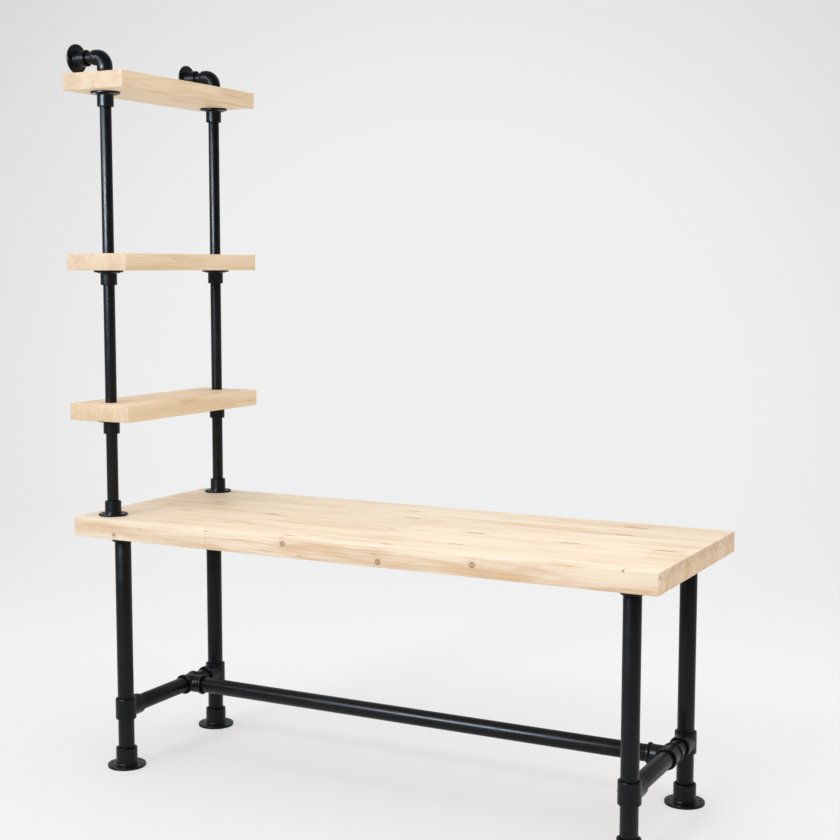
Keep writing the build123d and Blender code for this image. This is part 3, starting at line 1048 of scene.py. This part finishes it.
def studio_world(falloff):
    """Backdrop for the camera, even fill for matt surfaces, and a dark front for shiny ones."""
    world = bpy.data.worlds.new("studio")
    world.use_nodes = True
    world.node_tree.nodes.clear()
    w = Wiring(world.node_tree)
    out = w.node("ShaderNodeOutputWorld")
    way = w.node("ShaderNodeTexCoord").outputs["Generated"]
    behind = w.ramp(w.vector("DOT_PRODUCT", way, (-0.35, 0.9, 0.0)), -0.35, 0.65)
    ray = w.node("ShaderNodeLightPath").outputs
    fill = w.node("ShaderNodeBackground", {
        "Color": (0.96, 0.98, 1.0, 1),
        "Strength": w.math("MULTIPLY_ADD", behind, FILL_BEHIND, FILL)})
    mirrored = w.node("ShaderNodeBackground", {
        "Color": (0.90, 0.95, 1.0, 1),
        "Strength": w.math("MULTIPLY_ADD", behind, MIRRORED_BEHIND, MIRRORED)})
    shade = use_group(w, falloff, {"Direction": way})["Shade"]
    seen = w.node("ShaderNodeBackground", {"Color": (*BACKDROP, 1), "Strength": shade})
    lit = w.node("ShaderNodeMixShader", {
        0: ray["Is Glossy Ray"], 1: fill.outputs[0], 2: mirrored.outputs[0]})
    mixed = w.node("ShaderNodeMixShader", {
        0: ray["Is Camera Ray"], 1: lit.outputs[0], 2: seen.outputs[0]})
    w.put(out.inputs["Surface"], mixed.outputs[0])
    scene.world = world


def studio_floor(falloff):
    """Pale round floor, half self-lit by the bench and wholly so where it meets the backdrop."""
    mesh = bpy.data.meshes.new("studio_floor")
    shape = bmesh.new()
    bmesh.ops.create_circle(shape, cap_ends=True, segments=96, radius=FLOOR_RADIUS)
    shape.to_mesh(mesh)
    shape.free()
    floor = bpy.data.objects.new("studio_floor", mesh)
    scene.collection.objects.link(floor)
    material, w, surface = new_material("pale_floor")
    place = w.node("ShaderNodeTexCoord").outputs["Object"]
    distance = w.vector("LENGTH", place)
    far = w.ramp(distance, 0.9, 3.6, 0.50, 1.0)
    way = w.vector("SUBTRACT", place, CAMERA_PLACE)
    shade = use_group(w, falloff, {"Direction": way})["Shade"]
    dimmed = w.math("MULTIPLY_ADD", w.math("SUBTRACT", shade, 1.0), w.ramp(distance, 1.5, 6.0), 1.0)
    matte = w.node("ShaderNodeBsdfPrincipled", {
        "Base Color": (*FLOOR_COLOR, 1), "Roughness": 0.75, "Specular IOR Level": 0.2})
    glow = w.node("ShaderNodeEmission", {"Color": (*BACKDROP, 1), "Strength": dimmed})
    mixed = w.node("ShaderNodeMixShader", {0: far, 1: matte.outputs[0], 2: glow.outputs[0]})
    w.put(surface, mixed.outputs[0])
    mesh.materials.append(material)


def sky_light(name, way, width, strength, color):
    """Light from a patch of sky, its width in degrees, that doesn't show in reflections."""
    light = bpy.data.lights.new(name, "SUN")
    light.angle = math.radians(width)
    light.energy = strength
    light.color = color
    lamp = bpy.data.objects.new(name, light)
    lamp.rotation_euler = Vector(way).to_track_quat("Z", "Y").to_euler()
    lamp.visible_glossy = False
    scene.collection.objects.link(lamp)


def soft_light(name, place, aim, size, power, color, mirrored):
    """Rectangular light that either lights matt surfaces or only shows in shiny ones."""
    light = bpy.data.lights.new(name, "AREA")
    light.shape = "RECTANGLE"
    light.size, light.size_y = size
    light.energy = power
    light.color = color
    lamp = bpy.data.objects.new(name, light)
    lamp.location = place
    lamp.rotation_euler = (Vector(aim) - Vector(place)).to_track_quat("-Z", "Y").to_euler()
    lamp.visible_camera = False
    lamp.visible_diffuse = not mirrored
    lamp.visible_glossy = mirrored
    scene.collection.objects.link(lamp)


def studio_camera():
    data = bpy.data.cameras.new("camera")
    data.lens = CAMERA_LENS
    data.sensor_width = 36.0
    data.clip_end = 200.0
    camera = bpy.data.objects.new("camera", data)
    camera.location = CAMERA_PLACE
    heading = Matrix.Rotation(math.radians(CAMERA_HEADING), 4, "Z")
    tilt = Matrix.Rotation(math.radians(CAMERA_TILT), 4, "X")
    roll = Matrix.Rotation(math.radians(CAMERA_ROLL), 4, "Z")
    camera.rotation_euler = (heading @ tilt @ roll).to_euler()
    scene.collection.objects.link(camera)
    scene.camera = camera


scene.view_settings.view_transform = "Standard"
backdrop_falloff = backdrop_group()
studio_world(backdrop_falloff)
studio_floor(backdrop_falloff)
sky_light("ceiling", way=(0.25, -0.24, 1.0), width=110, strength=2.0, color=(1.0, 0.99, 0.98))
sky_light("lamp", way=(-0.23, -0.97, 0.85), width=12, strength=0.50, color=WARM)
soft_light("window", place=(-0.4, -8.0, 1.4), aim=(0.1, 0, 0.8), size=(3.2, 2.4),
           power=20, color=NEUTRAL, mirrored=False)
soft_light("sheen_card", place=(-1.2, -3.3, 2.15), aim=(-0.6, 0, 1.6), size=(1.8, 0.75),
           power=380, color=COOL, mirrored=True)
soft_light("high_card", place=(-3.3, -3.3, 3.0), aim=(0.0, 0, 0.2), size=(2.4, 1.0),
           power=95, color=COOL, mirrored=True)
studio_camera()
